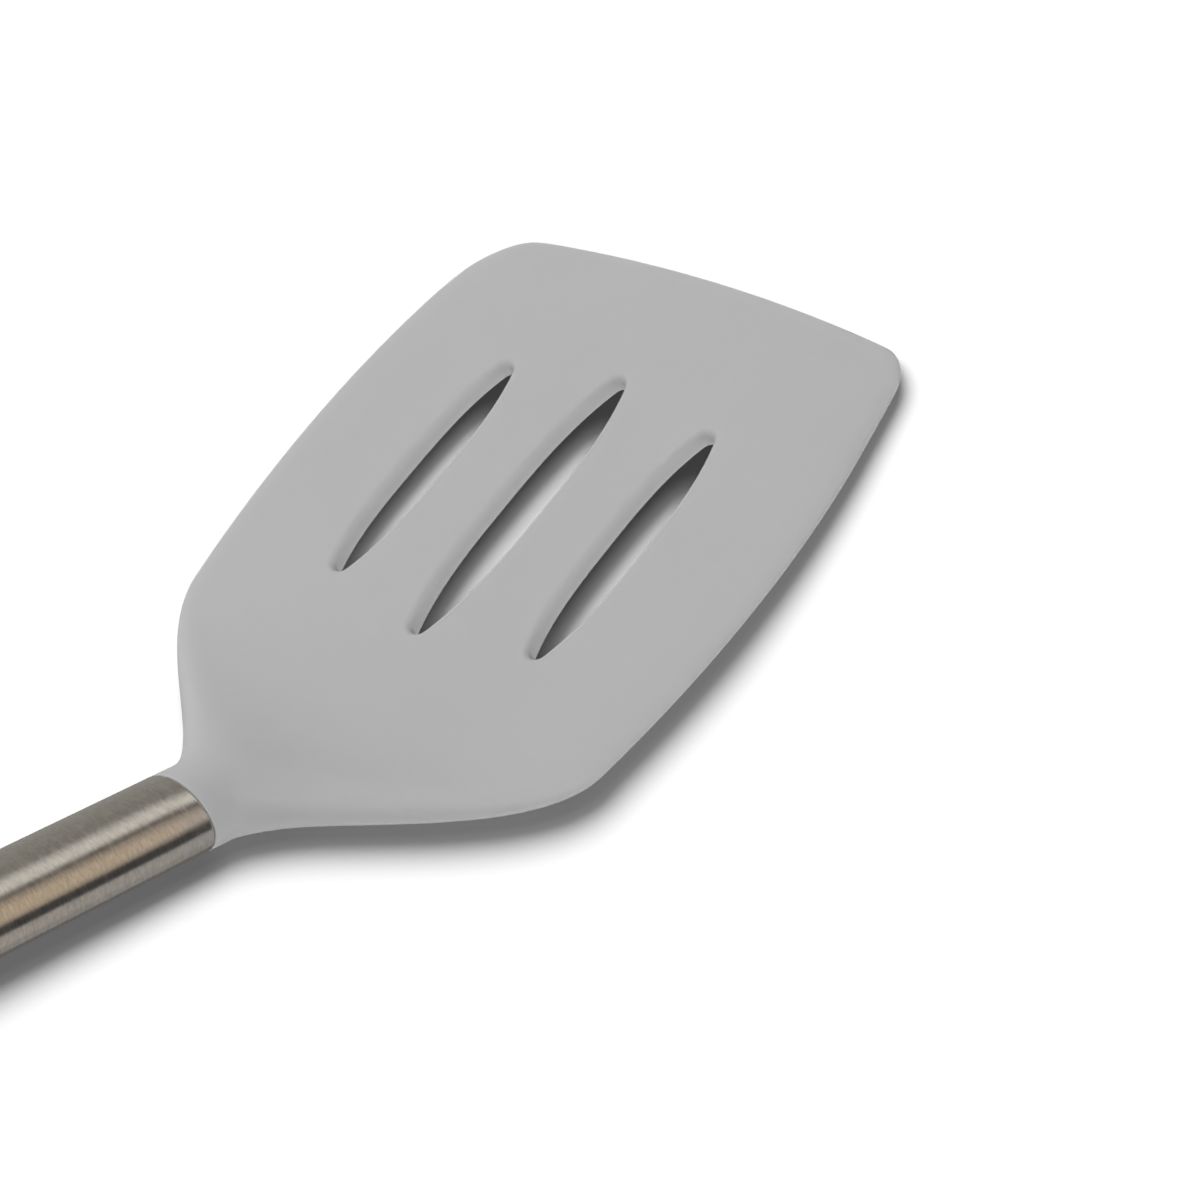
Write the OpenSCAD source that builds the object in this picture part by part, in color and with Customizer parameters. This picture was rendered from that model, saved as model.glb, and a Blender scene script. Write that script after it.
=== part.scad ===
// Slotted turner: a silicone head with three slots, moulded round a steel plate, on an oval steel handle.
// The blade lies flat with its underside at z = 0, +Y points to the front edge and x = 0 is the middle.
// Lengths along the head are measured on its bent middle surface, from the bend line forwards.

/* [Blade] */
// Greatest width of the blade
blade_w = 95; // [70:1:120]
// From the bend line to the front edge
blade_l = 95; // [84:1:120]
// Thickness of the blade round the slots
blade_t = 3; // [2.8:0.1:5]
// Thickness at the front lip
lip_t = 1.9; // [1.7:0.1:2.6]
// Length over which the blade thins to the lip
lip_l = 17; // [8:1:18]
// How far the front edge bows forward over the blade's half width
front_bow = 4; // [1:0.5:8]
// Length of the soft left front corner along the blade
left_corner_l = 10; // [6:0.5:14]
// Width of the soft left front corner across the blade
left_corner_w = 8; // [5:0.5:12]
// Length of the tighter right front corner along the blade
right_corner_l = 6; // [4:0.5:14]
// Width of the tighter right front corner across the blade
right_corner_w = 5; // [4:0.5:12]
// How much narrower the blade is at its front than at its middle, each side
side_taper = 5.3; // [2:0.1:8]

/* [Slots] */
// Length of the middle slot
mid_slot_l = 51.5; // [36:0.5:60]
// Length of the side slots
side_slot_l = 43.5; // [30:0.5:50]
// Width of the middle slot at its walls
mid_slot_w = 8.5; // [7:0.1:9.5]
// Width of the side slots at their walls
side_slot_w = 7.5; // [6.5:0.1:8.5]
// From the middle slot to each side slot
slot_pitch = 21; // [19.5:0.5:24]
// How far the three slots sit to the right of the handle's line
slot_shift = 1; // [-1.5:0.1:1.5]
// From the bend line to the rear tip of the middle slot
slot_rear = 20.75; // [19.5:0.25:23]
// How full the slots are near their tips
slot_fullness = 3; // [2:0.1:4]
// Radius of the slots' tips at their walls
slot_tip_r = 1.5; // [1:0.1:2]
// Rounding of the slots on the top face
slot_round_top = 1.2; // [0.8:0.1:1.6]
// Rounding of the slots on the underside
slot_round_under = 0.2; // [0.1:0.05:0.4]

/* [Heel] */
// Rise of the handle over the blade, in degrees
rise = 30; // [20:1:40]
// Half length of the bend, on each side of the bend line
bend_l = 12.5; // [10:0.5:15]
// Where the heel reaches the full width of the blade
shoulder_y = 14; // [12:0.5:15]
// Depth of the scoop in the top of the heel
scoop = 0.7; // [0:0.1:1.5]
// From the edge of the heel to the crest round its scoop
crest_in = 3; // [2.5:0.1:6]
// How fast the underside of the heel thins, higher is faster
under_fill = 2; // [1:0.1:2.2]
// Roundness of the blade's edges, higher is tighter
edge_tightness = 26; // [20:1:60]

/* [Handle] */
// Width of the oval tube
tube_w = 15.8; // [14:0.1:22]
// Height of the oval tube
tube_h = 10.6; // [9:0.1:15]
// Wall of the tube
tube_wall = 0.8; // [0.5:0.1:1.2]
// Length of the tube
tube_l = 205; // [160:1:260]
// From the bend to the mouth of the tube, along the handle
mouth = 25.5; // [24:0.5:34]
// Hanging hole
hole_d = 6.5; // [4:0.1:7]

/* [Inside] */
// Thickness of the steel plate
core_t = 0.7; // [0.5:0.05:0.9]
// Silicone between the plate's edge and the blade's edge
core_inset = 6; // [4.5:0.5:8]
// Silicone between the plate and each slot wall
window_margin = 2.6; // [2.4:0.1:3.2]
// Holes that the silicone grips through
grip_d = 4; // [3:0.5:5]
// Width of the tang
tang_w = 7; // [5:0.5:7.5]
// Thickness of the tang
tang_t = 1; // [0.8:0.1:1.1]
// Length of the tang inside the tube
tang_in_tube = 62; // [50:1:90]
// Width of the foot of the tang on the plate
foot_w = 30; // [26:1:36]
// Rivets
rivet_d = 2.4; // [2:0.1:2.6]
// Length of the neck bush
neck_bush_l = 24; // [15:1:30]
// Length of the tail bush
tail_bush_l = 12; // [8:1:16]
// Length of the cap inside the tube
spigot_l = 14; // [8:1:24]
// Length of the cap between the tube and its round end
cap_l = 6; // [4:0.5:12]
// Clearance between fitted pieces
fit_gap = 0.05; // [0.03:0.01:0.1]
// Gap between the collar and the tube
joint_gap = 0.15; // [0.1:0.05:0.3]

/* [Hidden] */
$fn = 64;

half_w = blade_w / 2;
neck_w = tube_w / 2;
neck_h = tube_h / 2;
mid_z = blade_t / 2;
slot_y = slot_rear + mid_slot_l / 2;
widest_y = slot_y + 3.5;
bend_r = bend_l / tan(rise / 2);
bend_start = bend_l - bend_r * rise * PI / 180;
collar_s = bend_start - (mouth - bend_l);
flare_s = collar_s + 4;
heel_s = shoulder_y - 2;
neck_s = flare_s + 1;
round_len = blade_l - widest_y;
corner_l = max(left_corner_l, right_corner_l);
overlap = 1;
pass = 0.1;
thin = 0.01;

cap_center = mouth + tube_l + cap_l;
end_y = -cap_center * cos(rise) - sqrt(pow(neck_w * cos(rise), 2) + pow(neck_h * sin(rise), 2));
origin_y = -(blade_l + end_y) / 2;

inner_w = tube_w - 2 * tube_wall;
inner_h = tube_h - 2 * tube_wall;
core_z = (blade_t - core_t - tang_t) / 2;
tang_z = core_z + core_t + tang_t / 2 - mid_z;
core_rear = bend_l + 0.5;
core_front = blade_l - core_inset;
foot_gap = 0.4;
foot_rear = core_rear + foot_gap;
foot_front = slot_rear - window_margin - foot_gap;
foot_l = foot_front - foot_rear;
rivet_x = foot_w / 2 - 5;
rivet_y = foot_rear + foot_l / 2;
tang_end = mouth + tang_in_tube;
grip_pitch = side_slot_l * 0.36;

function clamp(v) = min(1, max(0, v));
function ease(v) = let (c = clamp(v)) c * c * (3 - 2 * c);

// Middle surface: place [y, z] and slope at a length along the head, raised by h across the surface
function turn(s) = rise * clamp((bend_l - s) / (bend_l - bend_start));
function base_y(s) = s >= bend_l ? s : bend_l - bend_r * sin(turn(s)) - max(0, bend_start - s) * cos(rise);
function base_z(s) = mid_z + bend_r * (1 - cos(turn(s))) + max(0, bend_start - s) * sin(rise);
function lift_y(s, h) = base_y(s) + h * sin(turn(s));
function lift_z(s, h) = base_z(s) + h * cos(turn(s));

// Outline of the head in half widths
function side(s) = half_w - side_taper * pow((s - widest_y) / round_len, 2);
function flare(s) = ease(pow(clamp((s - flare_s) / (shoulder_y - flare_s)), 0.775));
function corner(s, l, w) = w * (1 - sqrt(1 - pow(clamp((s - blade_l + l) / l), 2)));
function left_w(s) = neck_w + (side(s) - neck_w) * flare(s) - corner(s, left_corner_l, left_corner_w);
function right_w(s) = neck_w + (side(s) - neck_w) * flare(s) - corner(s, right_corner_l, right_corner_w);
function bow(s, x) = front_bow * ease((s - widest_y) / round_len) * pow(x / half_w, 2);

// Thickness of the head: a thin blade that swells to the oval collar
function swell(s) = ease((heel_s - s) / (heel_s - neck_s));
function lip(s) = ease((s - blade_l + lip_l) / lip_l);
function nose(s) = let (v = clamp((s - blade_l + lip_t) / lip_t)) sqrt(max(0.0004, 1 - v * v));
function fill(s, up) = up > 0 ? swell(s) : pow(swell(s), under_fill);
function half_height(s, up) = (mid_z + (neck_h - mid_z) * fill(s, up)) * (1 - lip(s)) + lip_t / 2 * lip(s);
function hollow(s) = scoop * 4 * swell(s) * (1 - swell(s));
function crest(w) = max(0.5, 1 - crest_in / w);
function dish(s, u, w) = hollow(s) * pow(max(0, 1 - pow(u / crest(w), 4)), 2);
function tightness(s) = 2 + (edge_tightness - 2) * pow(1 - swell(s), 1.6) * left_w(s) / half_w;

// One point of a section: u runs from 1 at the right edge to -1 at the left, up is 1 for the top and -1 below
function rim(u, n) = let (c = pow(abs(u), n)) c < 0.001 ? 1 : sqrt(max(0, 1 - c));
function skin_point(s, u, up) =
    let (w = u > 0 ? right_w(s) : left_w(s))
    let (x = u * w)
    let (h = half_height(s, up))
    let (drop = lip(s) * (lip_t / 2 - mid_z))
    let (sunk = up > 0 ? dish(s, u, w) : 0)
    let (z = up * h * rim(u, tightness(s)) * nose(s) - sunk + drop)
    [x, lift_y(s, z) - bow(s, x), lift_z(s, z)];

edge_steps = 5;
flat_steps = 6;
function edge_u(s, k) = pow(cos(80 * k / edge_steps), 2 / tightness(s));
function u_at(s, k) =
    k <= edge_steps ? edge_u(s, k) : edge_u(s, edge_steps) * (1 - (k - edge_steps) / flat_steps);
function quarter() = edge_steps + flat_steps;
function ring(s) = concat(
    [for (k = [0 : quarter()]) skin_point(s, u_at(s, k), 1)],
    [for (k = [quarter() - 1 : -1 : 1]) skin_point(s, -u_at(s, k), 1)],
    [for (k = [0 : quarter()]) skin_point(s, -u_at(s, k), -1)],
    [for (k = [quarter() - 1 : -1 : 1]) skin_point(s, u_at(s, k), -1)]);
function stations() = concat(
    [for (i = [0 : 17]) collar_s + (bend_l + 2 - collar_s) * i / 18],
    [for (i = [0 : 10]) bend_l + 2 + (blade_l - lip_l - bend_l - 2) * i / 11],
    [for (i = [0 : 4]) blade_l - lip_l + (lip_l - corner_l) * i / 5],
    [for (i = [0 : 6]) blade_l - corner_l + (corner_l - lip_t) * sin(90 * i / 7)],
    [for (i = [0 : 4]) blade_l - lip_t + lip_t * sin(90 * i / 4)]);

// The whole head before it is cut
module head_loft() {
    line = stations();
    rings = [for (s = line) ring(s)];
    m = len(rings[0]);
    last = len(line) - 1;
    half = m / 2;
    points = [for (r = rings) for (p = r) p];
    walls = [for (i = [0 : last - 1]) for (j = [0 : m - 1])
        let (a = i * m + j, b = i * m + (j + 1) % m)
        each [[a, b, b + m], [a, b + m, a + m]]];
    rear = [for (j = [0 : half - 1]) each [[j, (m - j) % m, m - j - 1], [j, m - j - 1, j + 1]]];
    front = [for (j = [0 : half - 1]) each
        [[last * m + j, last * m + m - j - 1, last * m + (m - j) % m],
         [last * m + j, last * m + j + 1, last * m + m - j - 1]]];
    polyhedron(points, concat(walls, [for (f = rear) if (f[0] != f[1] && f[1] != f[2] && f[0] != f[2]) f],
        [for (f = front) if (f[0] != f[1] && f[1] != f[2] && f[0] != f[2]) f]));
}

// A slot's outline, grown outwards by more: two bowed sides and a round at each tip
lens_steps = 14;
tip_steps = 5;
function lens_slope(l, w, v) = atan2(sign(v) * slot_fullness * pow(abs(v), slot_fullness - 1) * w, l);
function lens_side(l, w, more, v) =
    let (a = lens_slope(l, w, v))
    [w / 2 * (1 - pow(abs(v), slot_fullness)), v * l / 2] + more * [cos(a), sin(a)];
function lens_tip(l, more, a) = [more * cos(a), l / 2 + more * sin(a)];
function lens_half(l, w, more) =
    let (a = lens_slope(l, w, 1))
    concat([for (k = [0 : lens_steps]) lens_side(l, w, more, -cos(180 * k / lens_steps))],
        [for (k = [1 : tip_steps - 1]) lens_tip(l, more, a + (180 - 2 * a) * k / tip_steps)]);
module lens(l, w, more) {
    right = lens_half(l - 2 * slot_tip_r, w - 2 * slot_tip_r, more + slot_tip_r);
    polygon(concat(right, -right));
}

module lens_layer(l, w, more, z) {
    translate([0, 0, z])
        linear_extrude(thin)
            lens(l, w, more);
}

// The cut for one slot, which flares at the top and underneath. Its last layers pass through the faces.
round_angles = [0, 24, 48, 72];
function flare_more(r, k) = k < len(round_angles) ? r * (1 - cos(round_angles[k])) : r + pass;
function flare_drop(r, k) = k < len(round_angles) ? r * (1 - sin(round_angles[k])) : -pass;
module slot_cut(l, w) {
    for (k = [0 : len(round_angles) - 1]) {
        hull() {
            lens_layer(l, w, flare_more(slot_round_top, k), blade_t - flare_drop(slot_round_top, k));
            lens_layer(l, w, flare_more(slot_round_top, k + 1), blade_t - flare_drop(slot_round_top, k + 1));
        }
        hull() {
            lens_layer(l, w, flare_more(slot_round_under, k), flare_drop(slot_round_under, k));
            lens_layer(l, w, flare_more(slot_round_under, k + 1), flare_drop(slot_round_under, k + 1));
        }
    }
    hull() {
        lens_layer(l, w, 0, slot_round_under);
        lens_layer(l, w, 0, blade_t - slot_round_top);
    }
}

module at_slots() {
    translate([slot_shift, slot_y, 0]) children(0);
    translate([slot_shift + slot_pitch, slot_y, 0]) children(1);
    translate([slot_shift - slot_pitch, slot_y, 0]) children(1);
}

// Places for what follows the handle: the origin at the bend, -Y to the rear
module on_handle() {
    translate([0, 0, mid_z])
        rotate([-rise, 0, 0])
            children();
}

module place() {
    translate([0, origin_y, 0])
        children();
}

module oval(w, h) {
    scale([w / 2, h / 2]) circle(1);
}

module oval_rod(w, h, from, l) {
    on_handle()
        translate([0, -from, 0])
            rotate([90, 0, 0])
                linear_extrude(l)
                    oval(w, h);
}

// The steel plate, grown by more for its pocket in the silicone
core_steps = 24;
function core_step(i, more) = i == 0 ? -more : i == core_steps ? more : 0;
function core_point(i, more) =
    let (s = core_rear + (core_front - core_rear) * i / core_steps)
    let (w = left_w(s) - core_inset + more)
    [w, s - bow(s, w) + core_step(i, more)];
module core_outline(more) {
    right = [for (i = [0 : core_steps]) core_point(i, more)];
    polygon(concat(right, [for (i = [core_steps : -1 : 0]) [-right[i][0], right[i][1]]]));
}

module core_shape(more) {
    translate([0, 0, core_z - more])
        linear_extrude(core_t + 2 * more)
            difference() {
                core_outline(more);
                at_slots() {
                    lens(mid_slot_l, mid_slot_w, window_margin - more);
                    lens(side_slot_l, side_slot_w, window_margin - more);
                }
                grips() circle(grip_d / 2 - more, $fn = 24);
            }
}

// Grip holes: three beside each outer slot and one ahead of the middle slot on each side
module grips() {
    window_x = slot_pitch + side_slot_w / 2 + window_margin;
    ahead_y = (slot_rear + mid_slot_l + core_front) / 2;
    for (m = [-1, 1]) {
        for (k = [-1, 0, 1])
            translate([(m * (window_x + half_w - core_inset) + slot_shift) / 2, slot_y + k * grip_pitch])
                children();
        translate([slot_shift + m * slot_pitch * 0.7, ahead_y])
            children();
    }
}

// The tang, grown by more for its pocket: a bent sheet, cut to the outline of a strip with a wide foot
tang_steps = 12;
module tang_side(more) {
    rear = bend_start - (tang_end - bend_l) - more;
    top = tang_z + tang_t / 2 + more;
    low = tang_z - tang_t / 2 - more;
    arc = [for (i = [0 : tang_steps]) bend_l + (bend_start - bend_l) * i / tang_steps];
    line = concat([foot_front + more], arc, [rear]);
    polygon(concat(
        [for (s = line) [lift_y(s, top), lift_z(s, top)]],
        [for (i = [len(line) - 1 : -1 : 0]) [lift_y(line[i], low), lift_z(line[i], low)]]));
}

module tang_outline(narrow, wide, from) {
    polygon([[narrow, -tang_end], [narrow, from], [wide, from + 1], [wide, blade_l],
        [-wide, blade_l], [-wide, from + 1], [-narrow, from], [-narrow, -tang_end]]);
}

module tang_shape(more) {
    intersection() {
        rotate([90, 0, 90])
            linear_extrude(foot_w + tang_w, center = true)
                tang_side(more);
        translate([0, 0, -blade_t])
            linear_extrude(tang_end)
                tang_outline(tang_w / 2 + more, foot_w / 2 + more, foot_rear - more);
    }
}

module rivet_shape(d, more) {
    for (m = [-1, 1])
        translate([m * rivet_x, rivet_y, core_z - more])
            cylinder(d = d, h = core_t + tang_t + 2 * more);
}

module bush(from, l) {
    difference() {
        oval_rod(inner_w - 2 * fit_gap, inner_h - 2 * fit_gap, from, l);
        on_handle()
            translate([-tang_w / 2 - fit_gap, -from - l - overlap, tang_z - tang_t / 2 - fit_gap])
                cube([tang_w + 2 * fit_gap, l + 2 * overlap, tang_t + 2 * fit_gap]);
    }
}

// Silicone moulding: blade, heel and collar
module blade_skin() {
    color([0.70, 0.70, 0.70])
        place()
            difference() {
                head_loft();
                at_slots() {
                    slot_cut(mid_slot_l, mid_slot_w);
                    slot_cut(side_slot_l, side_slot_w);
                }
                core_shape(fit_gap);
                tang_shape(fit_gap);
            }
}

// Spring steel plate with windows round the slots
module blade_core() {
    color([0.60, 0.61, 0.63])
        place()
            difference() {
                core_shape(0);
                rivet_shape(rivet_d + 2 * fit_gap, overlap);
            }
}

// Bent steel strip with a foot on the plate
module tang() {
    color([0.55, 0.56, 0.58])
        place()
            difference() {
                tang_shape(0);
                rivet_shape(rivet_d + 2 * fit_gap, overlap);
            }
}

// Two flush rivets through the foot and the plate
module core_rivets() {
    color([0.72, 0.72, 0.74])
        place()
            rivet_shape(rivet_d, 0);
}

// Nylon bush in the mouth of the tube
module neck_bush() {
    color([0.16, 0.16, 0.17])
        place()
            bush(mouth + joint_gap, neck_bush_l);
}

// Nylon bush on the rear end of the tang
module tail_bush() {
    color([0.16, 0.16, 0.17])
        place()
            bush(tang_end - tail_bush_l, tail_bush_l);
}

// Brushed stainless tube
module handle_tube() {
    color([0.62, 0.60, 0.57])
        place()
            difference() {
                oval_rod(tube_w, tube_h, mouth + joint_gap, tube_l - joint_gap);
                oval_rod(inner_w, inner_h, mouth - overlap, tube_l + 2 * overlap);
            }
}

// Stainless cap with a round end and the hanging hole
module end_cap() {
    color([0.64, 0.62, 0.60])
        place()
            difference() {
                union() {
                    oval_rod(tube_w, tube_h, mouth + tube_l, cap_l);
                    oval_rod(inner_w - 2 * fit_gap, inner_h - 2 * fit_gap,
                        mouth + tube_l - spigot_l, spigot_l);
                    on_handle()
                        translate([0, -cap_center, 0])
                            round_end();
                }
                on_handle()
                    translate([0, -cap_center, 0])
                        cylinder(d = hole_d, h = tube_h + 2 * overlap, center = true);
            }
}

// Rear half of a flattened ball that carries on the oval
module round_end() {
    rotate([0, 0, 180])
        rotate_extrude(angle = 180)
            intersection() {
                oval(tube_w, tube_h);
                translate([0, -tube_h]) square([tube_w, 2 * tube_h]);
            }
}

blade_skin();
blade_core();
tang();
core_rivets();
neck_bush();
tail_bush();
handle_tube();
end_cap();
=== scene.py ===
# Slotted turner: a grey silicone head moulded round a steel plate, on an oval brushed steel handle.
import math

import bmesh
import bpy
import numpy as np
from mathutils import Matrix, Quaternion, Vector, geometry


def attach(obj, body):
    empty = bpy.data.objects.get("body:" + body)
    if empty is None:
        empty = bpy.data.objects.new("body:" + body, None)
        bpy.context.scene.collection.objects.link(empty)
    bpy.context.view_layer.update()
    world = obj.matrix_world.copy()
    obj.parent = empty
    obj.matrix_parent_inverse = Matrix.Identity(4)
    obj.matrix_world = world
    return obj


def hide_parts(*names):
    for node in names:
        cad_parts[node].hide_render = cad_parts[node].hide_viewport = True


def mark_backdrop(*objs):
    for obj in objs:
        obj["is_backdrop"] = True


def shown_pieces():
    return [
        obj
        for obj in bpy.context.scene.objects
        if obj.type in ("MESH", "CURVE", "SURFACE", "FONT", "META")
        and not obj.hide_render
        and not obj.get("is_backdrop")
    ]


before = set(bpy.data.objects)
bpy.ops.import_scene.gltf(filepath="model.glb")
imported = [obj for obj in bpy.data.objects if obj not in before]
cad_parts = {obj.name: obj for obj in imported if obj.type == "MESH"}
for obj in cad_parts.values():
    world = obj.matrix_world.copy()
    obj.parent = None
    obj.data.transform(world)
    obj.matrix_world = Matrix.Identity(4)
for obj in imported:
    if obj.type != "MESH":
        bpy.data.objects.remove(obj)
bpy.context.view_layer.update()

# Steel plate, tang and rivets, out of sight inside the head and the tube.
# Cold rolled spring steel, cut and bent, with flush rivets; they keep the shapes of the solids.
spring_steel_colour = (0.50, 0.51, 0.52, 1)
spring_steel_dark, spring_steel_light = (0.46, 0.47, 0.48, 1), (0.55, 0.56, 0.57, 1)
rolling_stretch, rolling_scale, rolling_depth, rolling_relief = (1.0, 0.04, 1.0), 2500, 0.00002, 0.3
spring_steel_roughness = (0.26, 0.38)


def start_material(name, colour):
    material = bpy.data.materials.new(name)
    material.use_nodes = True
    tree = material.node_tree
    shader = tree.nodes["Principled BSDF"]
    shader.inputs["Base Color"].default_value = colour
    material.diffuse_color = colour
    return material, tree, shader


def add_noise(tree, stretch, scale, detail=3.0, roughness=0.5, turn=(0.0, 0.0, 0.0)):
    """Noise over the piece's own coordinates, in metres, turned and then stretched along each axis."""
    place = tree.nodes.new("ShaderNodeTexCoord")
    mapping = tree.nodes.new("ShaderNodeMapping")
    mapping.vector_type = "TEXTURE"
    mapping.inputs["Rotation"].default_value = turn
    mapping.inputs["Scale"].default_value = [1 / part for part in stretch]
    noise = tree.nodes.new("ShaderNodeTexNoise")
    noise.inputs["Scale"].default_value = scale
    noise.inputs["Detail"].default_value = detail
    noise.inputs["Roughness"].default_value = roughness
    tree.links.new(place.outputs["Object"], mapping.inputs["Vector"])
    tree.links.new(mapping.outputs["Vector"], noise.inputs["Vector"])
    return noise.outputs["Fac"]


def spread(tree, value, low, high, start=0.25, end=0.75):
    """Turns noise into a number between low and high."""
    remap = tree.nodes.new("ShaderNodeMapRange")
    remap.inputs["From Min"].default_value = start
    remap.inputs["From Max"].default_value = end
    remap.inputs["To Min"].default_value = low
    remap.inputs["To Max"].default_value = high
    tree.links.new(value, remap.inputs["Value"])
    return remap.outputs["Result"]


def tint(tree, value, dark, light, start=0.3, end=0.7):
    """Turns noise into a colour between dark and light."""
    ramp = tree.nodes.new("ShaderNodeValToRGB")
    for stop, position, colour in zip(ramp.color_ramp.elements, (start, end), (dark, light)):
        stop.position = position
        stop.color = colour
    tree.links.new(value, ramp.inputs["Fac"])
    return ramp.outputs["Color"]


def add_bump(tree, shader, value, depth, strength):
    bump = tree.nodes.new("ShaderNodeBump")
    bump.inputs["Distance"].default_value = depth
    bump.inputs["Strength"].default_value = strength
    tree.links.new(value, bump.inputs["Height"])
    tree.links.new(bump.outputs["Normal"], shader.inputs["Normal"])


def finish_nodes(nodes, material):
    """Gives a material to solids that stay as they are."""
    for node in nodes:
        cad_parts[node].data.materials.clear()
        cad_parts[node].data.materials.append(material)


spring_steel, tree, shader = start_material("spring_steel", spring_steel_colour)
shader.inputs["Metallic"].default_value = 1.0
rolling = add_noise(tree, rolling_stretch, rolling_scale)
tree.links.new(tint(tree, rolling, spring_steel_dark, spring_steel_light), shader.inputs["Base Color"])
tree.links.new(spread(tree, rolling, *spring_steel_roughness), shader.inputs["Roughness"])
add_bump(tree, shader, rolling, rolling_depth, rolling_relief)
finish_nodes(("blade_core", "tang", "core_rivets"), spring_steel)

# Bushes that hold the tang in the tube, also out of sight.
# Black nylon, injection moulded with a fine spark eroded grain.
nylon_colour = (0.030, 0.030, 0.032, 1)
nylon_dark, nylon_light = (0.026, 0.026, 0.028, 1), (0.035, 0.035, 0.037, 1)
nylon_stretch, nylon_scale, nylon_depth, nylon_relief = (1.0, 1.0, 1.0), 4000, 0.00003, 0.4
nylon_roughness = (0.48, 0.60)

nylon, tree, shader = start_material("black_nylon", nylon_colour)
nylon_grain = add_noise(tree, nylon_stretch, nylon_scale)
tree.links.new(tint(tree, nylon_grain, nylon_dark, nylon_light), shader.inputs["Base Color"])
tree.links.new(spread(tree, nylon_grain, *nylon_roughness), shader.inputs["Roughness"])
add_bump(tree, shader, nylon_grain, nylon_depth, nylon_relief)
finish_nodes(("neck_bush", "tail_bush"), nylon)

# Silicone head: blade, heel and collar in one matte light grey moulding, cast round the plate.
# A flat blade with three flared slots thins to a lip, and its heel swells up to the oval collar.
# Lengths in millimetres from the bend line, as in the solids, on the head's bent middle surface.
blade_w, blade_l, blade_t = 95.0, 95.0, 3.0
lip_t, lip_l, nose_least = 1.9, 17.0, 0.0004
front_bow, side_taper, widest_ahead = 4.0, 5.3, 3.5
left_corner, right_corner = (10.0, 8.0), (6.0, 5.0)
slot_rear, slot_pitch, slot_shift, slot_fullness = 20.75, 21.0, 1.0, 3.0
middle_slot, side_slot = (51.5, 8.5), (43.5, 7.5)
round_top, round_under, tip_round, rim_land = 1.2, 0.2, 1.5, 0.4
rise, bend_l, shoulder_y = math.radians(30), 12.5, 14.0
flare_ahead, flare_ease, neck_ahead, heel_back = 4.0, 0.775, 1.0, 2.0
scoop, scoop_fullness, crest_in, crest_least, under_fill = 0.7, 4, 3.0, 0.5, 2.0
edge_tightness, edge_ease, edge_from = 26.0, 1.6, 0.001
tube_w, tube_h, mouth = 15.8, 10.6, 25.5
collar_round = 0.25
origin_y, mm = 58.57595, 0.001
silicone_colour = (0.451, 0.451, 0.451, 1)
silicone_dark, silicone_light = (0.447, 0.447, 0.447, 1), (0.455, 0.455, 0.455, 1)
silicone_stretch, cloud_scale = (1.0, 1.0, 1.0), 45
skin_scale, skin_depth, skin_relief, skin_roughness = 2600, 0.00003, 0.25, (0.56, 0.68)

half_w, neck_w, neck_h, mid_z = blade_w / 2, tube_w / 2, tube_h / 2, blade_t / 2
slot_y = slot_rear + middle_slot[0] / 2
widest_y = slot_y + widest_ahead
round_len = blade_l - widest_y
bend_r = bend_l / math.tan(rise / 2)
bend_start = bend_l - bend_r * rise
collar_s = bend_start - (mouth - bend_l)
flare_s = collar_s + flare_ahead
heel_s, neck_s = shoulder_y - heel_back, flare_s + neck_ahead


def clamp(v):
    return np.clip(v, 0.0, 1.0)


def ease(v):
    c = clamp(v)
    return c * c * (3 - 2 * c)


def side_width(s, corner):
    """Half width of the head on the side with that corner."""
    side = half_w - side_taper * ((s - widest_y) / round_len) ** 2
    flare = ease(clamp((s - flare_s) / (shoulder_y - flare_s)) ** flare_ease)
    corner_l, corner_w = corner
    cut = corner_w * (1 - np.sqrt(1 - clamp((s - blade_l + corner_l) / corner_l) ** 2))
    return neck_w + (side - neck_w) * flare - cut


def heel_swell(s):
    """How far the head has swollen: 0 on the blade, 1 at the neck."""
    return ease((heel_s - s) / (heel_s - neck_s))


def edge_power(s):
    """How tight the edge's round is: 2 is an oval, more is flatter with a tighter edge."""
    slim = (1 - heel_swell(s)) ** edge_ease
    return 2 + (edge_tightness - 2) * slim * side_width(s, left_corner) / half_w


def head_points(s, u, up, inset):
    """Points of the skin: s is the place along the head, u goes from 1 at the right edge to -1 at the left,
    and up is 1 on top and -1 below."""
    width = np.where(u > 0, side_width(s, right_corner), side_width(s, left_corner)) - inset
    x = u * width
    swell = heel_swell(s)
    lip = ease((s - blade_l + lip_l) / lip_l)
    nose = np.sqrt(np.maximum(nose_least, 1 - clamp((s - blade_l + lip_t) / lip_t) ** 2))
    fill = np.where(up > 0, swell, swell**under_fill)
    height = (mid_z + (neck_h - mid_z) * fill) * (1 - lip) + lip_t / 2 * lip - inset
    bent = np.abs(u) ** edge_power(s)
    rim = np.where(bent < edge_from, 1.0, np.sqrt(np.maximum(0, 1 - bent)))
    crest = np.maximum(crest_least, 1 - crest_in / width)
    hollow = scoop * 4 * swell * (1 - swell) * np.maximum(0, 1 - (u / crest) ** scoop_fullness) ** 2
    h = up * height * rim * nose - np.where(up > 0, hollow, 0.0) + lip * (lip_t / 2 - mid_z)
    turn = rise * clamp((bend_l - s) / (bend_l - bend_start))
    past = np.maximum(0, bend_start - s)
    y = np.where(s >= bend_l, s, bend_l - bend_r * np.sin(turn) - past * math.cos(rise)) + h * np.sin(turn)
    z = mid_z + bend_r * (1 - np.cos(turn)) + past * math.sin(rise) + h * np.cos(turn)
    y = y - front_bow * ease((s - widest_y) / round_len) * (x / half_w) ** 2
    return np.stack(np.broadcast_arrays(x, y, z), axis=-1)


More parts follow.
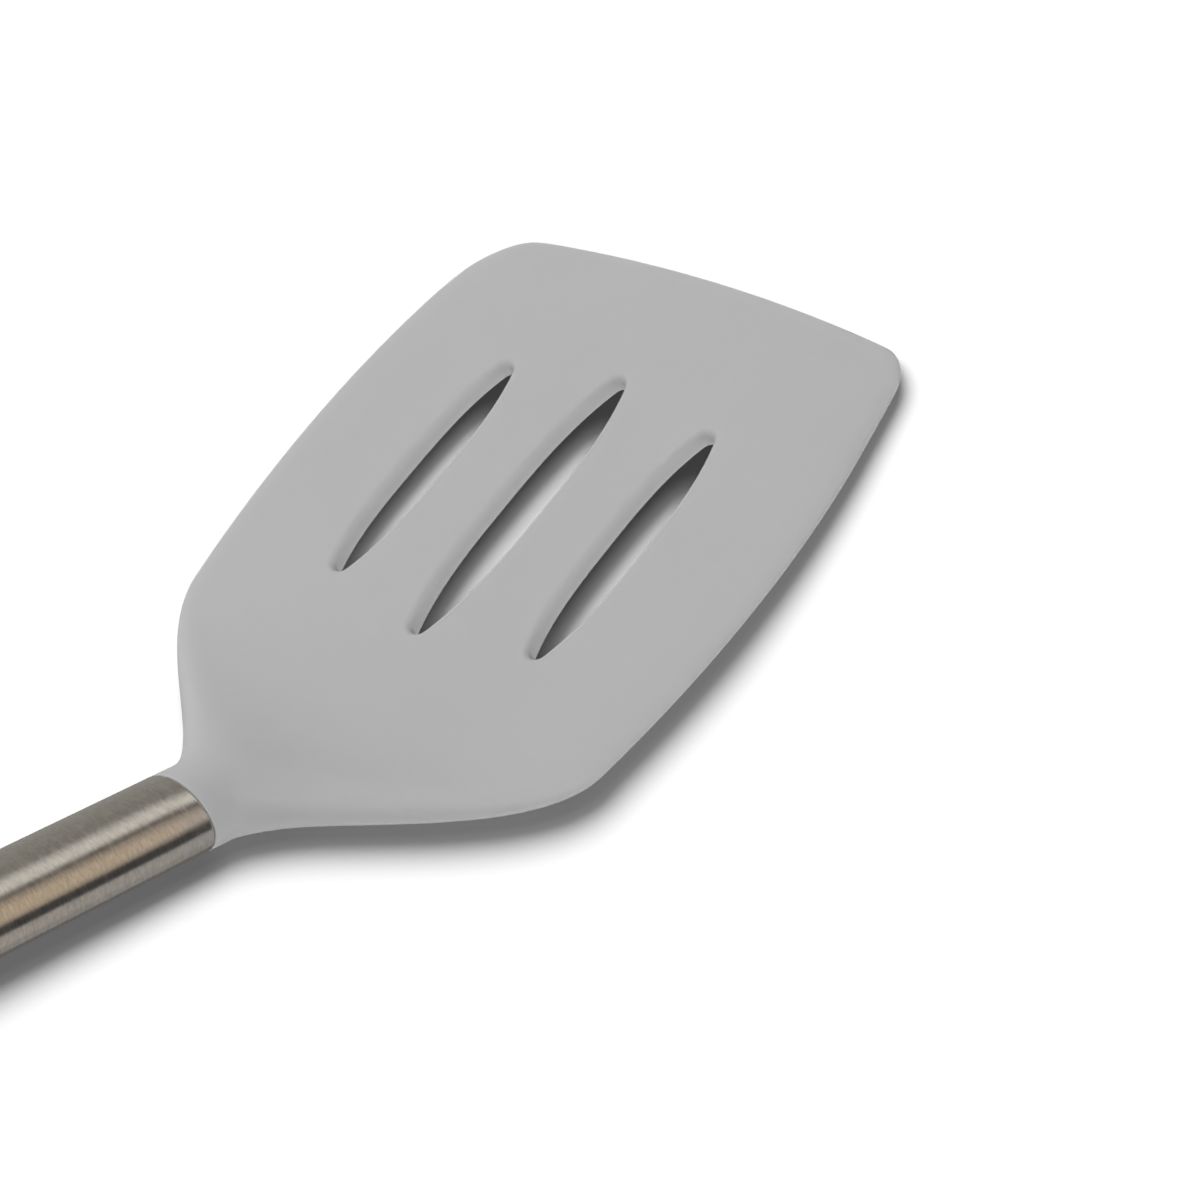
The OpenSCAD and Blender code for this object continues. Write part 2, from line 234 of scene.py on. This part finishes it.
def slot_outline(size, more, side_steps=40, tip_steps=12):
    """A slot's outline, grown by more: two bowed sides and a round at each tip."""
    length, width = size[0] - 2 * tip_round, size[1] - 2 * tip_round
    more = more + tip_round
    v = -np.cos(np.linspace(0, np.pi, side_steps + 1))
    slope = np.arctan2(np.sign(v) * slot_fullness * np.abs(v) ** (slot_fullness - 1) * width, length)
    right = np.stack([width / 2 * (1 - np.abs(v) ** slot_fullness) + more * np.cos(slope),
                      v * length / 2 + more * np.sin(slope)], axis=-1)
    turn = slope[-1] + (np.pi - 2 * slope[-1]) * np.arange(1, tip_steps) / tip_steps
    tip = np.stack([more * np.cos(turn), length / 2 + more * np.sin(turn)], axis=-1)
    half = np.concatenate([right, tip])
    return np.concatenate([half, -half])


def inside(spot, ring):
    """Whether a spot lies inside a closed outline."""
    after = np.roll(ring, -1, axis=0)
    crosses = (ring[:, 1] > spot[1]) != (after[:, 1] > spot[1])
    share = (spot[1] - ring[:, 1]) / np.where(crosses, after[:, 1] - ring[:, 1], 1)
    return np.sum(crosses & (spot[0] < ring[:, 0] + share * (after[:, 0] - ring[:, 0]))) % 2 == 1


def fill_flat(outer, holes):
    """Triangles between an outer outline and the holes in it, as numbers into all their points in turn."""
    outlines = [outer] + holes
    flat = np.concatenate(outlines)
    edges, start = [], 0
    for outline in outlines:
        count = len(outline)
        edges += [(start + i, start + (i + 1) % count) for i in range(count)]
        start += count
    whole_hull, same_spot = 0, 1e-6
    _, _, filled, numbers, _, _ = geometry.delaunay_2d_cdt(
        [Vector(spot) for spot in flat], edges, [], whole_hull, same_spot)
    triangles = [tuple(numbers[corner][0] for corner in triangle) for triangle in filled]
    middles = [flat[list(triangle)].mean(axis=0) for triangle in triangles]
    return [triangle for triangle, middle in zip(triangles, middles)
            if inside(middle, outer) and not any(inside(middle, hole) for hole in holes)]


def in_frame(spots):
    """Places in metres, in the shared frame, of spots in millimetres from the bend line."""
    return np.asarray(spots) * mm + np.array([0, origin_y * mm, 0])


def make_piece(name, points, faces, sharp_angle=None):
    """A smooth mesh object from points in millimetres, with sharp edges above an angle if one is given."""
    mesh = bpy.data.meshes.new(name)
    mesh.from_pydata(in_frame(points).tolist(), [], [[int(n) for n in face] for face in faces])
    cleaner = bmesh.new()
    cleaner.from_mesh(mesh)
    bmesh.ops.delete(cleaner, geom=[v for v in cleaner.verts if not v.link_faces], context="VERTS")
    bmesh.ops.remove_doubles(cleaner, verts=cleaner.verts, dist=1e-7)
    bmesh.ops.recalc_face_normals(cleaner, faces=cleaner.faces)
    cleaner.to_mesh(mesh)
    cleaner.free()
    mesh.shade_smooth()
    if sharp_angle:
        mesh.set_sharp_from_angle(angle=math.radians(sharp_angle))
    piece = bpy.data.objects.new(name, mesh)
    bpy.context.scene.collection.objects.link(piece)
    return piece


# Rings round the head, from the collar to the front edge.
edge_steps, flat_steps, land_column, edge_reach = 16, 16, 3, math.radians(84)
collar_steps, heel_steps, blade_steps, taper_steps, corner_steps = 6, 72, 48, 10, 34
flat_from, flat_to = 16.0, 77.0
quarter = edge_steps + flat_steps
ring_size = 4 * quarter
collar_turn = np.linspace(0, np.pi / 2, collar_steps)
corner_turn = np.linspace(0, np.pi / 2, corner_steps)
stations = np.concatenate([
    collar_s + collar_round * (1 - np.cos(collar_turn)),
    np.linspace(collar_s + collar_round, flat_from, heel_steps)[1:],
    np.linspace(flat_from, flat_to, blade_steps)[1:],
    np.linspace(flat_to, blade_l - left_corner[0], taper_steps)[1:],
    blade_l - left_corner[0] * (1 - np.sin(corner_turn))[1:]])
insets = np.zeros(len(stations))
insets[:collar_steps] = collar_round * (1 - np.sin(collar_turn))

steps = np.arange(quarter + 1)
edge_cosine = np.cos(edge_reach * np.minimum(steps, edge_steps) / edge_steps)
flat_share = 1 - (steps - edge_steps) / flat_steps
upward = np.where(np.arange(ring_size) < 2 * quarter, 1.0, -1.0)
head_rings = []
for s, inset in zip(stations, insets):
    bow = edge_cosine ** (2 / edge_power(s))
    u = np.where(steps <= edge_steps, bow, bow[edge_steps] * flat_share)
    across = np.concatenate([u, -u[-2:0:-1], -u, u[-2:0:-1]])
    head_rings.append(head_points(np.full(ring_size, s), across, upward, inset))
head_spots = list(np.concatenate(head_rings))

# Faces between the rings leave out the flat of the blade on both sides, which is filled round the slots.
flat_first = int(np.argmin(np.abs(stations - flat_from)))
flat_last = int(np.argmin(np.abs(stations - flat_to)))
near, far = edge_steps + land_column, 2 * quarter - edge_steps - land_column
head_faces = [tuple(range(ring_size))]
for i in range(len(stations) - 1):
    for j in range(ring_size):
        if flat_first <= i < flat_last and near <= j % (2 * quarter) < far:
            continue
        k = (j + 1) % ring_size
        head_faces.append((i * ring_size + j, i * ring_size + k,
                           (i + 1) * ring_size + k, (i + 1) * ring_size + j))
front = (len(stations) - 1) * ring_size
for j in range(2 * quarter):
    across_front = (j, j + 1, (ring_size - j - 1) % ring_size, (ring_size - j) % ring_size)
    head_faces.append(tuple(front + n for n in dict.fromkeys(across_front)))

# Slot walls, from the land on top through the flare and down to the small round below.
flare_turn = np.radians([90, 82, 74, 66, 58, 50, 42, 34, 26, 18, 9, 0])
slot_places = [(slot_shift, middle_slot),
               (slot_shift + slot_pitch, side_slot),
               (slot_shift - slot_pitch, side_slot)]
slot_rims = []
for x, size in slot_places:
    layers = [(round_top + rim_land, blade_t)]
    layers += [(round_top * (1 - math.cos(a)), blade_t - round_top * (1 - math.sin(a))) for a in flare_turn]
    layers += [(round_under * (1 - math.cos(a)), round_under * (1 - math.sin(a))) for a in flare_turn[::-1]]
    layers += [(round_under + rim_land, 0.0)]
    rings = []
    for more, z in layers:
        outline = slot_outline(size, more) + np.array([x, slot_y])
        rings.append(np.arange(len(outline)) + len(head_spots))
        head_spots += [np.array([px, py, z]) for px, py in outline]
    for a, b in zip(rings[:-1], rings[1:]):
        for j in range(len(a)):
            k = (j + 1) % len(a)
            head_faces.append((a[j], a[k], b[k], b[j]))
    slot_rims.append((rings[0], rings[-1]))

for level, offset in ((0, 0), (1, 2 * quarter)):
    columns = list(range(offset + near, offset + far + 1))
    border = [flat_first * ring_size + j for j in columns]
    border += [i * ring_size + columns[-1] for i in range(flat_first + 1, flat_last + 1)]
    border += [flat_last * ring_size + j for j in columns[-2::-1]]
    border += [i * ring_size + columns[0] for i in range(flat_last - 1, flat_first, -1)]
    outlines = [border] + [list(rims[level]) for rims in slot_rims]
    numbers = [n for outline in outlines for n in outline]
    plans = [np.array([head_spots[n][:2] for n in outline]) for outline in outlines]
    filling = fill_flat(plans[0], plans[1:])
    head_faces += [tuple(numbers[corner] for corner in triangle) for triangle in filling]

silicone_head = make_piece("silicone_head", head_spots, head_faces)

silicone, tree, shader = start_material("grey_silicone", silicone_colour)
shader.inputs["Specular IOR Level"].default_value = 0.35
shader.inputs["Subsurface Weight"].default_value = 0.6
shader.inputs["Subsurface Radius"].default_value = (1, 1, 1)
shader.inputs["Subsurface Scale"].default_value = 0.002
cloud = add_noise(tree, silicone_stretch, cloud_scale, detail=4)
tree.links.new(tint(tree, cloud, silicone_dark, silicone_light), shader.inputs["Base Color"])
skin_grain = add_noise(tree, silicone_stretch, skin_scale, detail=2)
tree.links.new(spread(tree, skin_grain, *skin_roughness), shader.inputs["Roughness"])
add_bump(tree, shader, skin_grain, skin_depth, skin_relief)
silicone_head.data.materials.append(silicone)
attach(silicone_head, "root")
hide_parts("blade_skin")

# Oval handle tube in stainless steel, pushed over the tang and its bushes up to the silicone collar.
# Drawn tube with broken edges, brushed round its girth, so the fine lines run across the handle.
tube_l, tube_wall, joint_gap, tube_edge = 205.0, 0.8, 0.15, 0.2
oval_steps, tube_steps, round_steps, steel_sharp = 192, 40, 5, 50
steel_colour = (0.60, 0.58, 0.55, 1)
steel_dark, steel_light = (0.50, 0.483, 0.458, 1), (0.70, 0.677, 0.642, 1)
fine_stretch, fine_scale, fine_depth, fine_relief = (0.25, 1.0, 0.25), 3400, 0.000008, 0.6
broad_stretch, broad_scale, steel_roughness = (0.16, 1.0, 0.16), 900, (0.19, 0.28)
brush_turn = (-rise, 0.0, 0.0)


def on_handle(across, along, height):
    """Places of points counted across, back along and up from the handle's middle line, from the bend."""
    y = height * math.sin(rise) - along * math.cos(rise)
    z = height * math.cos(rise) + along * math.sin(rise) + mid_z
    return np.stack(np.broadcast_arrays(across, y, z), axis=-1)


def oval_ring(turn, along, shrink):
    """One ring of the handle's oval, smaller all round by shrink."""
    return on_handle((neck_w - shrink) * np.cos(turn), along, (neck_h - shrink) * np.sin(turn))


def broken_edge(at, inward, turns):
    """Profile of a broken edge: how far along and how much smaller it is at each turn of its round."""
    return [(at + inward * tube_edge * (1 - math.cos(a)), tube_edge * (1 - math.sin(a))) for a in turns]


def join_rings(start, count, size):
    """Faces between rings of the same size that follow each other."""
    return [(start + i * size + j, start + i * size + (j + 1) % size,
             start + (i + 1) * size + (j + 1) % size, start + (i + 1) * size + j)
            for i in range(count - 1) for j in range(size)]


oval_turn = np.linspace(0, 2 * np.pi, oval_steps, endpoint=False)
edge_turn = np.linspace(0, np.pi / 2, round_steps)
tube_front, tube_rear = mouth + joint_gap, mouth + tube_l
tube_stops = np.linspace(tube_front + tube_edge, tube_rear - tube_edge, tube_steps)[1:-1]
profile = broken_edge(tube_front, 1, edge_turn)
profile += [(along, 0.0) for along in tube_stops]
profile += broken_edge(tube_rear, -1, edge_turn[::-1])
profile += [(tube_rear, tube_wall), (tube_front, tube_wall)]
profile.append(profile[0])
tube_points = np.concatenate([oval_ring(oval_turn, along, shrink) for along, shrink in profile])
handle = make_piece("handle", tube_points, join_rings(0, len(profile), oval_steps), steel_sharp)

brushed, tree, shader = start_material("brushed_steel", steel_colour)
shader.inputs["Metallic"].default_value = 1.0
brush_fine = add_noise(tree, fine_stretch, fine_scale, roughness=0.65, turn=brush_turn)
brush_broad = add_noise(tree, broad_stretch, broad_scale, turn=brush_turn)
tree.links.new(tint(tree, brush_fine, steel_dark, steel_light), shader.inputs["Base Color"])
tree.links.new(spread(tree, brush_broad, *steel_roughness), shader.inputs["Roughness"])
add_bump(tree, shader, brush_fine, fine_depth, fine_relief)
handle.data.materials.append(brushed)
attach(handle, "root")
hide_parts("handle_tube")

# End cap in the same steel with the hanging hole, pressed into the rear of the tube by its spigot.
# Its oval carries on the tube's and ends in a half round; the hole's rims are rounded for the hook.
cap_l, spigot_l, fit_gap = 6.0, 14.0, 0.05
hole_r, hole_rim, spigot_edge = 3.25, 0.6, 0.4
cap_steps, rear_steps, side_steps, front_steps, least_step = 20, 96, 20, 64, 1e-9

cap_middle = tube_rear + cap_l
cap_front = cap_l - tube_edge
front_corner = math.atan2(cap_front, neck_w)
rays = np.concatenate([
    np.linspace(0, np.pi, rear_steps, endpoint=False),
    np.linspace(np.pi, np.pi + front_corner, side_steps, endpoint=False),
    np.linspace(np.pi + front_corner, 2 * np.pi - front_corner, front_steps, endpoint=False),
    np.linspace(2 * np.pi - front_corner, 2 * np.pi, side_steps, endpoint=False)])
ray_x, ray_back = np.cos(rays), np.sin(rays)
to_side = neck_w / np.maximum(np.abs(ray_x), least_step)
to_front = cap_front / np.maximum(-ray_back, least_step)
reach = np.where(ray_back >= 0, neck_w, np.minimum(to_side, to_front))


def cap_height(away):
    """Height of the cap's top over its middle, on each ray from the hole."""
    across = np.where(ray_back >= 0, away, away * np.abs(ray_x))
    return neck_h * np.sqrt(np.maximum(0, 1 - (across / neck_w) ** 2))


# Rings of the cap from its outer edge in to the hole, over the top and then below.
rows = []
rim_away = np.full(len(rays), hole_r + hole_rim)
for k in range(cap_steps, -1, -1):
    away = rim_away + (reach - rim_away) * math.sin(k / cap_steps * math.pi / 2)
    rows.append((away, cap_height(away)))
for a in edge_turn[1:]:
    rows.append((rim_away - hole_rim * math.sin(a), cap_height(rim_away) - hole_rim * (1 - math.cos(a))))
rows += [(away, -height) for away, height in rows[::-1]]
cap_points = [on_handle(away * ray_x, cap_middle + away * ray_back, height) for away, height in rows]
cap_faces = join_rings(0, len(rows), len(rays))

# The front of the cap, stepped in to the spigot that sits in the tube.
seam_rays = np.arange(rear_steps + side_steps, rear_steps + side_steps + front_steps + 1)
seam_x = np.concatenate([(rows[0][0] * ray_x)[seam_rays], (rows[-1][0] * ray_x)[seam_rays[-2:0:-1]]])
seam_height = np.concatenate([rows[0][1][seam_rays], rows[-1][1][seam_rays[-2:0:-1]]])
seam_turn = np.arctan2(seam_height / neck_h, seam_x / neck_w)
spigot_shrink, spigot_end = tube_wall + fit_gap, tube_rear - spigot_l
profile = broken_edge(tube_rear, 1, edge_turn[::-1])
profile += [(tube_rear, spigot_shrink), (spigot_end + spigot_edge, spigot_shrink)]
profile += [(spigot_end, spigot_shrink + spigot_edge)]
cap_faces += join_rings(len(rows) * len(rays), len(profile), len(seam_turn))
cap_points += [oval_ring(seam_turn, along, shrink) for along, shrink in profile]
cap_points = np.concatenate(cap_points)
cap_faces.append(tuple(range(len(cap_points) - len(seam_turn), len(cap_points))))
end_piece = make_piece("end_piece", cap_points, cap_faces, steel_sharp)
end_piece.data.materials.append(brushed)
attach(end_piece, "root")
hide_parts("end_cap")

# White table under the turner and a white backdrop all round, both plain.
# They stay out of the steel, which mirrors the strip lamps alone.
room_r, room_steps, table_z, wall_z = 30.0, 64, -0.0002, -1.0
table_colour, wall_colour = (0.98, 0.98, 0.98, 1), (1, 1, 1, 1)

room_turn = np.linspace(0, 2 * np.pi, room_steps, endpoint=False)
room_ring = np.stack([room_r * np.cos(room_turn), room_r * np.sin(room_turn)], axis=-1)
table_mesh = bpy.data.meshes.new("table")
table_mesh.from_pydata([(x, y, 0) for x, y in room_ring], [], [tuple(range(room_steps))])
table = bpy.data.objects.new("table", table_mesh)
table.location.z = table_z
white_table, tree, shader = start_material("white_table", table_colour)
shader.inputs["Roughness"].default_value = 0.9
shader.inputs["Specular IOR Level"].default_value = 0.0
table_mesh.materials.append(white_table)

wall_mesh = bpy.data.meshes.new("backdrop")
wall_points = [(x, y, z) for z in (wall_z, room_r) for x, y in room_ring]
wall_mesh.from_pydata(wall_points, [], join_rings(0, 2, room_steps))
backdrop = bpy.data.objects.new("backdrop", wall_mesh)
white_wall, tree, shader = start_material("white_wall", (0, 0, 0, 1))
shader.inputs["Specular IOR Level"].default_value = 0.0
shader.inputs["Emission Color"].default_value = wall_colour
shader.inputs["Emission Strength"].default_value = 1.0
wall_mesh.materials.append(white_wall)
backdrop.visible_shadow = False
for part in (table, backdrop):
    bpy.context.scene.collection.objects.link(part)
    part.visible_glossy = False
    part.visible_diffuse = False

# Short soft shadow on the table. A lamp from the front left lights the table alone, through a thin sheet
# with the turner's outline and slots that nothing else sees. Its height sets how soft and how far the shadow
# falls, and a face's cover how dark it is. Two layers of their own shade the table seen in the slots.
view_from = np.array([242.90, -16.11, 250.11])
shadow_h, shadow_shift = 9.0, (4.9, -3.7)
handle_lift, far_lift, lift_l, handle_parts = 0.55, 2.0, 60.0, 12
front_fall, fall_from, fall_to = 0.45, 40.0, 95.0
edge_cover, contact_cover, handle_cover, far_cover = 0.80, 0.38, 0.85, 0.25
heel_trim, heel_stride, ring_stride, oval_stride = 2.0, 3, 2, 4
contact_share, inside_only, merge_gap = 0.5, 1, 1e-5
zone_left, zone_right, zone_rear, zone_front = -34.0, 33.0, 14.0, 84.0
wide_layer = (18.0, (11.0, 2.0), (0.4, -0.6), 1.0)  # height, trim of a slot's size, move, cover
tight_layer = (7.5, (11.0, 1.9), (0.1, -0.4), 0.52)
table_light_power, table_light_angle = 3.76, math.radians(28)


def on_sheet(spots):
    """Drops spots on the sheet along the line of sight, so that the outline stays as it is seen."""
    spots = np.asarray(spots) + np.array([0, origin_y, 0])
    share = view_from[2] / (view_from[2] - spots[:, 2])
    return (view_from + (spots - view_from) * share[:, None])[:, :2]


# Outlines of the blade, of the handle in short lengths and of the heel, each as it is seen.
blade_s = stations[stations >= flat_from]
left_edge = head_points(blade_s, np.full(len(blade_s), -1.0), 1.0, 0.0)
right_edge = head_points(blade_s, np.full(len(blade_s), 1.0), 1.0, 0.0)
parts = [on_sheet(np.concatenate([right_edge, left_edge[::-1]]))]
handle_cuts = np.linspace(mouth, cap_middle + neck_w, handle_parts + 1)
cut_rings = [oval_ring(oval_turn[::oval_stride], along, 0.0) for along in handle_cuts]
shapes = [np.concatenate(pair) for pair in zip(cut_rings[:-1], cut_rings[1:])]
heel_stops = list(range(collar_steps - 1, flat_first, heel_stride)) + [flat_first]
for i, k in zip(heel_stops[:-1], heel_stops[1:]):
    shape = np.concatenate([head_rings[i][::ring_stride], head_rings[k][::ring_stride]])
    shape[:, 0] += heel_trim * (shape[:, 0] < -heel_trim)
    shapes.append(shape)
for shape in shapes:
    spots = on_sheet(shape)
    parts.append(spots[geometry.convex_hull_2d([Vector(spot) for spot in spots])])
zone = on_sheet([(zone_left, zone_rear, mid_z), (zone_right, zone_rear, mid_z),
                 (zone_right, zone_front, mid_z), (zone_left, zone_front, mid_z)])

# All of them merged into one sheet with a contact layer under it, open round the slots.
outlines = parts + [zone]
starts = np.cumsum([0] + [len(outline) for outline in outlines])
loops = [list(range(a, b)) for a, b in zip(starts[:-1], starts[1:])]
zone_edges = [(loops[-1][i - 1], loops[-1][i]) for i in range(len(zone))]
for outline, loop in zip(parts, loops):
    after = np.roll(outline, -1, axis=0)
    if np.sum(outline[:, 0] * after[:, 1] - outline[:, 1] * after[:, 0]) < 0:
        loop.reverse()
spots = [Vector(spot) for outline in outlines for spot in outline]
merged_spots, _, merged_faces, _, _, merged_from = geometry.delaunay_2d_cdt(
    spots, zone_edges, loops[:len(parts)], inside_only, merge_gap)
sheet_spots = np.array([spot[:] for spot in merged_spots])
handle_line = on_sheet([(0, -along * math.cos(rise), along * math.sin(rise))
                        for along in (mouth, mouth + lift_l)])
handle_way = handle_line[1] - handle_line[0]
back = (sheet_spots - handle_line[0]) @ handle_way / (handle_way @ handle_way)
fall = clamp((sheet_spots[:, 1] - origin_y - fall_from) / (fall_to - fall_from))
heights = shadow_h * (1 + handle_lift * clamp(back) + far_lift * np.maximum(0, back - 1) - front_fall * fall)
sheet_points = np.concatenate([np.column_stack([sheet_spots, heights]),
                               np.column_stack([sheet_spots, heights * contact_share])])
sheet_faces, covers = [], []
for face, sources in zip(merged_faces, merged_from):
    if inside(sheet_spots[face].mean(axis=0), zone):
        continue
    cuts = [n for n in sources if 1 <= n <= handle_parts]
    fade = clamp((handle_cuts[cuts[0]] - mouth - lift_l) / (tube_l - lift_l)) if cuts else 0.0
    sheet_faces += [tuple(face), tuple(n + len(sheet_spots) for n in face)]
    handle_shade = handle_cover + (far_cover - handle_cover) * fade
    covers += [handle_shade if cuts else edge_cover, contact_cover * (1 - fade)]

# The open place round the slots, closed by a high wide layer and a low tight one with slots of their own.
for layer_h, trim, move, layer_cover in (wide_layer, tight_layer):
    plans = [zone]
    for x, size in slot_places:
        hole = slot_outline(np.subtract(size, trim), 0.0) + np.array([x, slot_y]) + np.array(move)
        plans.append(on_sheet(np.column_stack([hole, np.full(len(hole), mid_z)])))
    triangles = fill_flat(plans[0], plans[1:])
    sheet_faces += [tuple(n + len(sheet_points) for n in triangle) for triangle in triangles]
    covers += [layer_cover] * len(triangles)
    lifted = np.concatenate(plans) - np.array(shadow_shift) * (layer_h / shadow_h - 1)
    sheet_points = np.concatenate([sheet_points, np.column_stack([lifted, np.full(len(lifted), layer_h)])])

sheet_mesh = bpy.data.meshes.new("shadow_sheet")
sheet_mesh.from_pydata((sheet_points * mm).tolist(), [], sheet_faces)
sheet_mesh.attributes.new("cover", "FLOAT", "FACE").data.foreach_set("value", covers)
shade, tree, shader = start_material("shade", (0.5, 0.5, 0.5, 1))
cover = tree.nodes.new("ShaderNodeAttribute")
cover.attribute_name = "cover"
tree.links.new(cover.outputs["Fac"], shader.inputs["Alpha"])
sheet_mesh.materials.append(shade)
shadow_sheet = bpy.data.objects.new("shadow_sheet", sheet_mesh)
bpy.context.scene.collection.objects.link(shadow_sheet)
shadow_sheet.visible_camera = False
shadow_sheet.visible_diffuse = False
shadow_sheet.visible_glossy = False
shadow_sheet.visible_transmission = False
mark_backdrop(table, backdrop, shadow_sheet)


def link_group(name, members):
    group = bpy.data.collections.new(name)
    for member in members:
        group.objects.link(member)
    return group


def hang_lamp(name, light, lit, shaded_by):
    """A lamp that lights one group of objects and is shaded by another."""
    lamp = bpy.data.objects.new(name, light)
    bpy.context.scene.collection.objects.link(lamp)
    lamp.light_linking.receiver_collection = lit
    lamp.light_linking.blocker_collection = shaded_by
    return lamp


turner_pieces = link_group("turner_pieces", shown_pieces())
steel_pieces = link_group("steel_pieces", [handle, end_piece])
head_pieces = link_group("head_pieces", [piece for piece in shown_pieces() if piece not in (handle, end_piece)])
table_only = link_group("table_only", [table])
sheet_only = link_group("sheet_only", [shadow_sheet])
for piece in (silicone_head, handle, end_piece):
    piece.visible_diffuse = False

sun = bpy.data.lights.new("table_light", "SUN")
sun.energy = table_light_power
sun.angle = table_light_angle
table_light = hang_lamp("table_light", sun, table_only, sheet_only)
sun_way = Vector((-shadow_shift[0], -shadow_shift[1], shadow_h))
table_light.rotation_euler = sun_way.to_track_quat("Z", "Y").to_euler()

# Soft studio panels round the silicone head. The last three stand in for the light that a white table
# sends back up at the head's edges and slot walls.
panel_size = 1.6
for name, spot, power in (
        ("panel_right", (1.06, 0.00, 1.70), 26.0),
        ("panel_left", (-1.06, 0.00, 1.70), 8.5),
        ("panel_back", (-0.44, -1.64, 1.06), 16.0),
        ("panel_front", (1.20, 1.20, 1.06), 8.5),
        ("panel_left_low", (-1.98, 0.00, 0.28), 12.0),
        ("panel_front_low", (-1.33, 1.48, 0.28), 11.5),
        ("table_right", (1.53, 0.00, -1.29), 19.0),
        ("table_rear", (0.00, -1.53, -1.29), 14.0),
        ("table_under", (0.42, -0.73, -1.81), 5.5)):
    panel = bpy.data.lights.new(name, "AREA")
    panel.size = panel_size
    panel.energy = power
    lamp = hang_lamp(name, panel, head_pieces, turner_pieces)
    lamp.location = spot
    lamp.rotation_euler = Vector(spot).to_track_quat("Z", "Y").to_euler()

# Long strip boxes beside the handle, which its brushed oval draws out into bands: grey on the left, bright
# above, warm on the right near the bend and dim below. Angles go round the handle from its right side, and
# each strip has its ends in metres ahead of the bend. A square box beyond each end lights cap and collar.
strip_away, strip_front, strip_middle, strip_warm_end, strip_rear = 0.45, 1.30, 0.20, -0.02, -1.50
end_size, end_away, end_glow = 1.0, 1.2, 0.45
handle_start = Vector(in_frame(on_handle(0.0, 0.0, 0.0)))
side_way = Vector((1, 0, 0))
ahead_way = Vector((0, math.cos(rise), -math.sin(rise)))
up_way = Vector((0, math.sin(rise), math.cos(rise)))
for name, start, end, rear, ahead, glow in (
        ("strip_left_low", 200, 262, strip_rear, strip_front, (0.11, 0.105, 0.10)),
        ("strip_left_edge", 165, 200, strip_rear, strip_front, (0.30, 0.29, 0.265)),
        ("strip_left", 140, 165, strip_rear, strip_front, (0.275, 0.265, 0.235)),
        ("strip_left_top", 123, 140, strip_rear, strip_front, (0.225, 0.215, 0.19)),
        ("strip_over_left", 111, 120, strip_rear, strip_front, (0.60, 0.575, 0.53)),
        ("strip_over", 92, 111, strip_rear, strip_front, (0.84, 0.80, 0.73)),
        ("strip_plain_top", 68, 80, strip_rear, strip_warm_end, (0.355, 0.345, 0.33)),
        ("strip_plain", 36, 68, strip_rear, strip_warm_end, (0.52, 0.505, 0.48)),
        ("strip_plain_low", 26, 36, strip_rear, strip_warm_end, (0.425, 0.41, 0.39)),
        ("strip_warm_top", 68, 80, strip_warm_end, strip_middle, (0.42, 0.335, 0.245)),
        ("strip_warm", 36, 68, strip_warm_end, strip_middle, (0.63, 0.49, 0.325)),
        ("strip_warm_low", 26, 36, strip_warm_end, strip_middle, (0.50, 0.40, 0.29)),
        ("strip_rose_top", 68, 80, strip_middle, strip_front, (0.36, 0.31, 0.27)),
        ("strip_rose", 36, 68, strip_middle, strip_front, (0.55, 0.47, 0.41)),
        ("strip_rose_low", 26, 36, strip_middle, strip_front, (0.20, 0.175, 0.16)),
        ("strip_low", -60, -8, strip_rear, strip_middle, (0.42, 0.385, 0.35)),
        ("strip_low_front", -60, -8, strip_middle, strip_front, (0.37, 0.365, 0.365)),
        ("strip_under", -95, -60, strip_rear, strip_front, (0.31, 0.29, 0.27))):
    middle, half = math.radians((start + end) / 2), math.radians((end - start) / 2)
    outward = math.cos(middle) * side_way + math.sin(middle) * up_way
    sideways = math.sin(middle) * side_way - math.cos(middle) * up_way
    strip = bpy.data.lights.new(name, "AREA")
    strip.shape = "RECTANGLE"
    strip.size = 2 * strip_away * math.tan(half)
    strip.size_y = ahead - rear
    strip.color = [part / max(glow) for part in glow]
    strip.energy = math.pi * strip.size * strip.size_y * max(glow)
    lamp = hang_lamp(name, strip, steel_pieces, turner_pieces)
    turn = Matrix((sideways, ahead_way, outward)).transposed().to_4x4()
    spot = handle_start + outward * strip_away + ahead_way * (ahead + rear) / 2
    lamp.matrix_world = Matrix.Translation(spot) @ turn

for name, way in (("end_rear", -ahead_way), ("end_front", ahead_way)):
    box = bpy.data.lights.new(name, "AREA")
    box.size = end_size
    box.energy = math.pi * end_size**2 * end_glow
    lamp = hang_lamp(name, box, steel_pieces, turner_pieces)
    lamp.location = handle_start + way * end_away
    lamp.rotation_euler = way.to_track_quat("Z", "Y").to_euler()

# Camera above the right side of the head and turned a little, at the photograph's viewing angle.
# The room itself is white and dim, so that the lamps shape the light.
focal_length, sensor_w, nearest = 73.978, 36.0, 0.01
view_turn = Quaternion((0.890590, 0.258372, 0.278460, 0.250106))
room_glow = 0.05

world = bpy.data.worlds.new("studio")
world.use_nodes = True
world.node_tree.nodes["Background"].inputs["Color"].default_value = (1, 1, 1, 1)
world.node_tree.nodes["Background"].inputs["Strength"].default_value = room_glow
bpy.context.scene.world = world

lens = bpy.data.cameras.new("camera")
lens.lens, lens.sensor_width = focal_length, sensor_w
lens.clip_start, lens.clip_end = nearest, 2 * room_r
camera = bpy.data.objects.new("camera", lens)
camera.location = view_from * mm
camera.rotation_mode = "QUATERNION"
camera.rotation_quaternion = view_turn
bpy.context.scene.collection.objects.link(camera)
bpy.context.scene.camera = camera
bpy.context.scene.view_settings.view_transform = "Standard"
